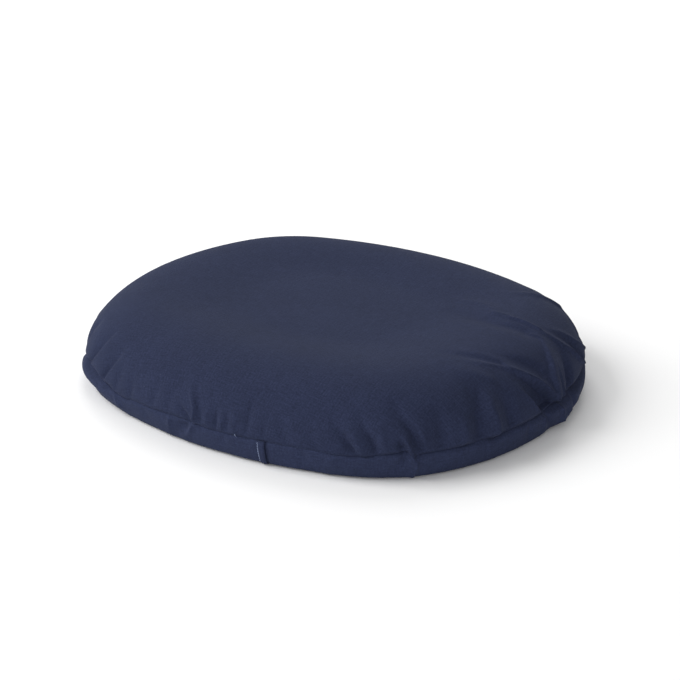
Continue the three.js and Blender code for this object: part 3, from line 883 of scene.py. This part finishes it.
def make_end_tab(name, start, end):
    section = rounded_section(ZIP_RISE - 6 * MM, ZIP_RISE + 6 * MM, -1.1 * MM, -0.3 * MM)
    return strip_object(name, start, end, section, step=1.5 * MM)


# ---- Small sewn pieces ----

THREAD_END = 36 * MM


def make_lap_stitches():
    """The upright row of stitches beside the lap."""
    count = 9
    rise = np.linspace(1.5 * MM, RISE_FULL - 1.2 * MM, count)
    along = np.full(count, LAP - LAP_WIDTH - 0.3 * MM)
    share = 1 - rise / RISE_FULL
    belly = BELLY * np.sin(math.pi * share) ** BELLY_POWER
    places = band_place(along, rise, -belly - 0.25 * MM)
    _, outs = outline(along)
    out = np.column_stack([outs, np.zeros(count)])
    return stitch_row("lap_stitches", places, out, thickness=0.75 * MM, fill=0.9)


def make_seam_stitches(name, height, inset):
    """Stitches deep in a seam, all the way round."""
    count = int(PERIMETER / (3.2 * MM))
    along = np.linspace(0, PERIMETER, count)
    points, outs = outline(along)
    up = np.full(count, height - SEAM_HEIGHT)
    behind = inset + groove_depth(along) + 1.8 * MM - np.minimum(fold_height(along, up, ALL_FOLDS), 0)
    places = np.column_stack([points - outs * behind[:, None], height + seam_shift(along, up)])
    out = np.column_stack([outs, np.zeros(count)])
    return stitch_row(name, places, out)


def make_thread_end():
    """A short loose end of thread that stands out of the top seam."""
    rise = RISE_FULL + np.array([-1.0, 2.4]) * MM
    depth = np.array([0.2, -1.0]) * MM
    places = band_place(np.full(2, THREAD_END), rise, depth)
    _, outs = outline(THREAD_END)
    rings = stitch(places[0], places[1], np.append(outs, 0), 0.7 * MM)
    return tubes_object("thread_end", [rings])


def make_label():
    """A blank satin label, caught in the top seam and hanging over the band."""
    low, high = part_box("care_label")
    width, rows, columns = 30 * MM, 16, 24
    start = 165 * MM - PERIMETER / 2
    along = start + np.linspace(0, width, columns)
    grid = []
    for step in range(rows):
        drop = step / (rows - 1)
        rise = RISE_FULL * (1 - 0.8 * drop)
        wave = np.sin((along - start) / width * math.pi * 1.3 + 0.4)
        curl = (0.9 + 1.6 * drop**2 + 0.5 * drop * wave) * MM
        grid.append(band_place(along, rise, -curl - 1.3 * MM * math.sin(math.pi * 0.8 * drop)))
    grid = np.stack(grid[::-1])
    piece = grid_object("label", grid, closed=False, cloth_uv=np.stack(
        np.broadcast_arrays(along[None, :], np.linspace(0, high.z - low.z, rows)[:, None]), -1))
    return thicken(piece, 0.3 * MM)


# ---- Materials ----

def new_material(name):
    material = bpy.data.materials.new(name)
    material.use_nodes = True
    tree = material.node_tree
    return material, tree.nodes, tree.links, tree.nodes["Principled BSDF"]


class Wiring:
    """Short ways to add and join shader nodes."""

    def __init__(self, nodes, links):
        self.nodes, self.links = nodes, links

    def feed(self, socket, value):
        if isinstance(value, bpy.types.NodeSocket):
            self.links.new(value, socket)
        elif value is not None:
            socket.default_value = value

    def math(self, operation, a, b=None):
        node = self.nodes.new("ShaderNodeMath")
        node.operation = operation
        self.feed(node.inputs[0], a)
        self.feed(node.inputs[1], b)
        return node.outputs[0]

    def noise(self, vector, scale, detail=3, roughness=0.5):
        node = self.nodes.new("ShaderNodeTexNoise")
        self.feed(node.inputs["Vector"], vector)
        node.inputs["Scale"].default_value = scale
        node.inputs["Detail"].default_value = detail
        node.inputs["Roughness"].default_value = roughness
        return node.outputs["Fac"]

    def stretched(self, vector, scale):
        node = self.nodes.new("ShaderNodeVectorMath")
        node.operation = "MULTIPLY"
        self.feed(node.inputs[0], vector)
        node.inputs[1].default_value = scale
        return node.outputs[0]

    def ramp(self, value, stops):
        node = self.nodes.new("ShaderNodeValToRGB")
        while len(node.color_ramp.elements) < len(stops):
            node.color_ramp.elements.new(0.5)
        for element, (place, colour) in zip(node.color_ramp.elements, stops):
            element.position = place
            element.color = tuple(colour) + (1,)
        self.feed(node.inputs["Fac"], value)
        return node.outputs["Color"]

    def mix(self, share, a, b):
        node = self.nodes.new("ShaderNodeMix")
        node.data_type = "RGBA"
        self.feed(node.inputs[0], share)
        self.feed(node.inputs[6], a)
        self.feed(node.inputs[7], b)
        return node.outputs[2]

    def bump(self, height, distance, strength=1.0, normal=None):
        node = self.nodes.new("ShaderNodeBump")
        node.inputs["Strength"].default_value = strength
        node.inputs["Distance"].default_value = distance
        self.feed(node.inputs["Height"], height)
        self.feed(node.inputs["Normal"], normal)
        return node.outputs["Normal"]


def shade(colour, factor):
    return tuple(channel * factor for channel in colour)


COVER_CLOTH = (0.0200, 0.0255, 0.0550)
LINT = (0.11, 0.125, 0.17)
THREAD_PITCH = 0.55 * MM


def cloth_material(name, base):
    """Plain woven cloth: crossed threads, uneven yarn, slight fading and specks of lint."""
    material, nodes, links, shader = new_material(name)
    wire = Wiring(nodes, links)
    place = nodes.new("ShaderNodeTexCoord").outputs["UV"]
    parts = nodes.new("ShaderNodeSeparateXYZ")
    links.new(place, parts.inputs[0])
    turns = 2 * math.pi / THREAD_PITCH
    warp = wire.math("SINE", wire.math("MULTIPLY", parts.outputs[0], turns))
    weft = wire.math("SINE", wire.math("MULTIPLY", parts.outputs[1], turns))
    weave = wire.math("MULTIPLY", warp, weft)
    yarn_across = wire.noise(wire.stretched(place, (80, 850, 1)), 1, 2)
    yarn_along = wire.noise(wire.stretched(place, (850, 80, 1)), 1, 2)
    yarn = wire.math("MULTIPLY", wire.math("ADD", yarn_across, yarn_along), 0.5)
    grain = wire.noise(place, 600, 3, 0.65)
    patches = wire.noise(place, 16, 4, 0.6)
    tone = wire.math("ADD", wire.math("MULTIPLY", yarn, 0.42), wire.math("MULTIPLY", grain, 0.46))
    tone = wire.math("ADD", tone, wire.math("MULTIPLY", patches, 0.12))
    colour = wire.ramp(tone, [(0.38, shade(base, 0.73)), (0.5, base), (0.62, shade(base, 1.32))])
    specks = nodes.new("ShaderNodeTexVoronoi")
    specks.inputs["Scale"].default_value = 55
    links.new(place, specks.inputs["Vector"])
    rare = nodes.new("ShaderNodeSeparateColor")
    links.new(specks.outputs["Color"], rare.inputs[0])
    near = wire.math("LESS_THAN", specks.outputs["Distance"], 0.022)
    chosen = wire.math("GREATER_THAN", rare.outputs[0], 0.8)
    speck = wire.math("MULTIPLY", wire.math("MULTIPLY", near, chosen), 0.3)
    colour = wire.mix(speck, colour, LINT + (1,))
    links.new(colour, shader.inputs["Base Color"])
    threads = wire.bump(weave, 0.05 * MM, 0.5)
    fibres = wire.bump(yarn, 0.12 * MM, 0.5, threads)
    links.new(wire.bump(grain, 0.08 * MM, 0.5, fibres), shader.inputs["Normal"])
    shader.inputs["Roughness"].default_value = 0.92
    shader.inputs["Specular IOR Level"].default_value = 0.08
    shader.inputs["Sheen Weight"].default_value = 0.03
    shader.inputs["Sheen Roughness"].default_value = 0.5
    shader.inputs["Sheen Tint"].default_value = (0.6, 0.7, 1.0, 1)
    return material


def object_noise_material(name, base, roughness, scale, spread, depth, metallic=0.0, sheen=0.0):
    """A finish with fine unevenness in colour and height, placed by object coordinates."""
    material, nodes, links, shader = new_material(name)
    wire = Wiring(nodes, links)
    place = nodes.new("ShaderNodeTexCoord").outputs["Object"]
    fine = wire.noise(place, scale, 4, 0.6)
    colour = wire.ramp(fine, [(0.3, shade(base, 1 - spread)), (0.7, shade(base, 1 + spread))])
    links.new(colour, shader.inputs["Base Color"])
    links.new(wire.bump(fine, depth, 0.6), shader.inputs["Normal"])
    worn = wire.math("ADD", wire.math("MULTIPLY", fine, 0.2), roughness - 0.1)
    links.new(worn, shader.inputs["Roughness"])
    shader.inputs["Metallic"].default_value = metallic
    shader.inputs["Sheen Weight"].default_value = sheen
    return material


# ---- Assemble ----

cover_cloth = cloth_material("cover_cloth", COVER_CLOTH)
foam_fill = object_noise_material("foam_fill", (0.62, 0.55, 0.36), 0.9, 900, 0.2, 0.3 * MM)
zip_tape = object_noise_material(
    "zip_tape", (0.016, 0.019, 0.036), 0.85, 1500, 0.3, 0.1 * MM, sheen=0.2)
zip_nylon = object_noise_material("zip_nylon", (0.02, 0.024, 0.045), 0.4, 700, 0.15, 0.02 * MM)
zip_metal = object_noise_material("zip_metal", (0.46, 0.46, 0.47), 0.34, 500, 0.12, 0.02 * MM, 1.0)
seam_thread = object_noise_material(
    "seam_thread", (0.05, 0.062, 0.12), 0.7, 2500, 0.25, 0.05 * MM, sheen=0.3)
# Painted light: the boxing band and zip plackets use the same cover cloth made 13% lighter, standing in
# for the extra light that falls on the band
band_cloth_painted_lighter = cloth_material("band_cloth_painted_lighter", shade(COVER_CLOTH, 1.13))
lap_thread = object_noise_material(
    "lap_thread", (0.17, 0.22, 0.36), 0.6, 2500, 0.2, 0.05 * MM, sheen=0.3)
label_satin = object_noise_material(
    "label_satin", (0.78, 0.77, 0.73), 0.5, 1200, 0.06, 0.05 * MM, sheen=0.3)


def finish_piece(piece, material, slot, *nodes):
    """Gives a still piece its finish and hides the CAD nodes that it stands for. The slot is not used.
    """
    piece.data.materials.append(material)
    if nodes:
        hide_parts(*nodes)
    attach(piece, "cushion")
    return piece


top = finish_piece(make_top(), cover_cloth, "cover_cloth", "cover_top_panel")
finish_piece(make_bottom(), cover_cloth, "cover_cloth", "cover_bottom_panel")
finish_piece(make_band("band_left", ZIP_END - PERIMETER, LAP, lap_raise),
             band_cloth_painted_lighter, "cover_cloth", "boxing_strip_left")
finish_piece(make_band("band_right", LAP - LAP_WIDTH, ZIP_START, under_lap),
             band_cloth_painted_lighter, "cover_cloth", "boxing_strip_right")
core = finish_piece(make_foam(), foam_fill, "foam", "foam_ring")

for side, direction in (("upper", 1), ("lower", -1)):
    finish_piece(make_placket(side, direction), band_cloth_painted_lighter, "cover_cloth", f"zip_placket_{side}")
    finish_piece(make_tape(side, direction), zip_tape, "zip_tape", f"zip_tape_{side}")
    finish_piece(make_coil(side, direction), zip_nylon, "zip_nylon", f"zip_coil_{side}")
    finish_piece(make_zip_stitches(side, direction), seam_thread, "thread", f"zip_stitch_{side}")

TAB_FROM = CHAIN_HALF + 2.6 * MM
TAB_TO = TAB_FROM + 10 * MM
finish_piece(make_end_tab("end_tab_left", REAR + TAB_FROM, REAR + TAB_TO),
             cover_cloth, "cover_cloth", "zip_end_tab_left")
finish_piece(make_end_tab("end_tab_right", REAR - TAB_TO, REAR - TAB_FROM),
             cover_cloth, "cover_cloth", "zip_end_tab_right")
finish_piece(make_seam_stitches("seam_stitches_top", SEAM_HEIGHT - 0.3 * MM, 0.0),
             seam_thread, "thread", "top_seam_thread")
finish_piece(make_seam_stitches("seam_stitches_base", 1.2 * MM, BASE_INSET),
             seam_thread, "thread", "bottom_seam_thread")
finish_piece(make_lap_stitches(), lap_thread, "thread", "boxing_join_thread")
finish_piece(make_thread_end(), lap_thread, "thread")
finish_piece(make_label(), label_satin, "label_satin", "care_label")

METAL_NODES = (
    "zip_slider_body", "zip_pull_tab", "zip_top_stop_upper", "zip_top_stop_lower", "zip_bottom_stop",
)
for node in METAL_NODES:
    metal = frame["nodes"][node]
    metal.data.materials.clear()
    metal.data.materials.append(zip_metal)
    bevel = metal.modifiers.new("soft_edges", "BEVEL")
    bevel.width = 0.18 * MM
    bevel.segments = 3
    bevel.limit_method = "ANGLE"

# ---- Studio ----

CAMERA_AZIMUTH = math.radians(35.1)
CAMERA_ELEVATION = math.radians(22.7)
CAMERA_DISTANCE = 1.9
LENS = 109.5
AIM_RIGHT = 5.03 * MM
AIM_UP = 35.4 * MM
FLOOR_HALF = 40
LIGHT_DISTANCE = 3.0
LIGHT_SIZE = 2.0
WORLD_STRENGTH = 0.48


def make_camera():
    flat = math.cos(CAMERA_ELEVATION)
    back = Vector((math.sin(CAMERA_AZIMUTH) * flat, -math.cos(CAMERA_AZIMUTH) * flat,
                   math.sin(CAMERA_ELEVATION)))
    right = Vector((math.cos(CAMERA_AZIMUTH), math.sin(CAMERA_AZIMUTH), 0))
    upward = back.cross(right)
    aim = right * AIM_RIGHT + Vector((0, 0, AIM_UP))
    data = bpy.data.cameras.new("camera")
    data.lens = LENS
    data.sensor_width = 36
    camera = bpy.data.objects.new("camera", data)
    bpy.context.scene.collection.objects.link(camera)
    turn = Matrix((right, upward, back)).transposed()
    camera.matrix_world = Matrix.Translation(aim + back * CAMERA_DISTANCE) @ turn.to_4x4()
    bpy.context.scene.camera = camera


def area_light(name, azimuth, elevation, watts):
    """A white square light that faces the cushion; azimuth 0 is the front."""
    data = bpy.data.lights.new(name, "AREA")
    data.size = LIGHT_SIZE
    data.energy = watts
    light = bpy.data.objects.new(name, data)
    bpy.context.scene.collection.objects.link(light)
    turn, lift = math.radians(azimuth), math.radians(elevation)
    way = Vector((math.sin(turn) * math.cos(lift), -math.cos(turn) * math.cos(lift), math.sin(lift)))
    light.location = way * LIGHT_DISTANCE
    light.rotation_euler = way.to_track_quat("Z", "Y").to_euler()


def make_floor():
    mesh = bpy.data.meshes.new("floor")
    half = FLOOR_HALF
    corners_at = [(-half, -half, 0), (half, -half, 0), (half, half, 0), (-half, half, 0)]
    mesh.from_pydata(corners_at, [], [(0, 1, 2, 3)])
    floor = bpy.data.objects.new("floor", mesh)
    floor.location.z = -0.2 * MM
    bpy.context.scene.collection.objects.link(floor)
    material, _, _, shader = new_material("floor_paint")
    shader.inputs["Base Color"].default_value = (0.94, 0.94, 0.94, 1)
    shader.inputs["Roughness"].default_value = 0.9
    mesh.materials.append(material)


def make_world():
    world = bpy.data.worlds.new("studio")
    world.use_nodes = True
    background = world.node_tree.nodes["Background"]
    background.inputs["Color"].default_value = (1, 1, 1, 1)
    background.inputs["Strength"].default_value = WORLD_STRENGTH
    bpy.context.scene.world = world


make_camera()
make_floor()
make_world()
area_light("key", -55, 40, 72)
area_light("back", 215, 40, 34)
area_light("fill", 25, 6, 40)
bpy.context.scene.view_settings.view_transform = "Standard"


def corners(bounds):
    return [list(map(float, corner)) for corner in bounds]
